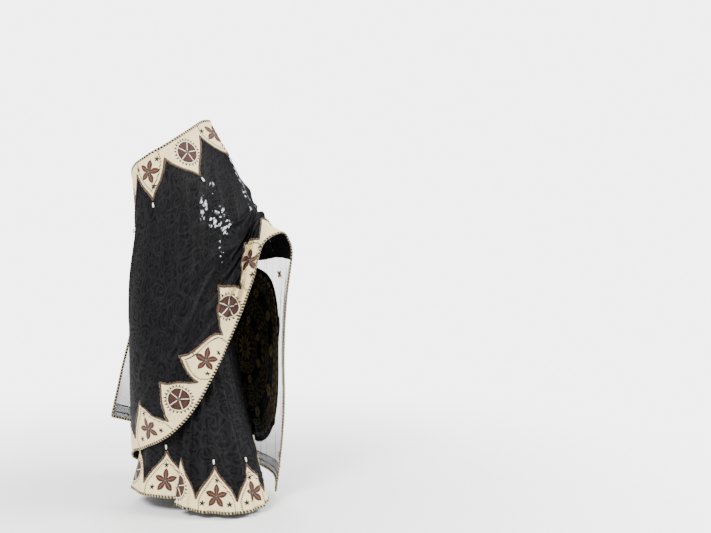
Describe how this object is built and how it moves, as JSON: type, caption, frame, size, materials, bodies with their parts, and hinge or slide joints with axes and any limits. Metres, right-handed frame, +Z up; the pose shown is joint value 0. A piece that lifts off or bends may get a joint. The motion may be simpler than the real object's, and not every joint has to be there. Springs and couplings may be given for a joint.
{
  "type": "draped saree",
  "caption": "Black lace saree in its worn drape: wrapped skirt, front pleats, drape over the left shoulder and raised arm, sheer end piece, ivory arched borders.",
  "frame": {"origin": "centre of the waist, at the height where the top of the skirt is tucked in, as the wearer holds it", "axes": "+Z up, -Y the wearer's front, +X the wearer's left"},
  "size_m": [0.5609, 0.6512, 1.4738],
  "materials": {
    "lace": "black patterned lace, slightly glossy",
    "ivory": "matt ivory applique with brown and black embroidery",
    "sheer": "sheer black organza",
    "barkcloth": "matt brown, black and cream patterned panel",
    "end_tint": "sheer band with brown tint and two braids"
  },
  "bodies": {
    "root": {"under_wrap": "lace", "under_hem_border": "ivory", "front_pleats": "lace", "pleat_hem_border": "ivory", "hip_wrap": "lace", "hip_hem_border": "ivory", "front_drape": "lace", "drape_lower_border": "ivory", "chest_border": "ivory", "arm_drape": "lace", "wrist_border": "ivory", "shoulder_border": "ivory", "pallu": "sheer", "pallu_medallion": "barkcloth", "pallu_end_band": "end_tint"}
  },
  "joints": []
}
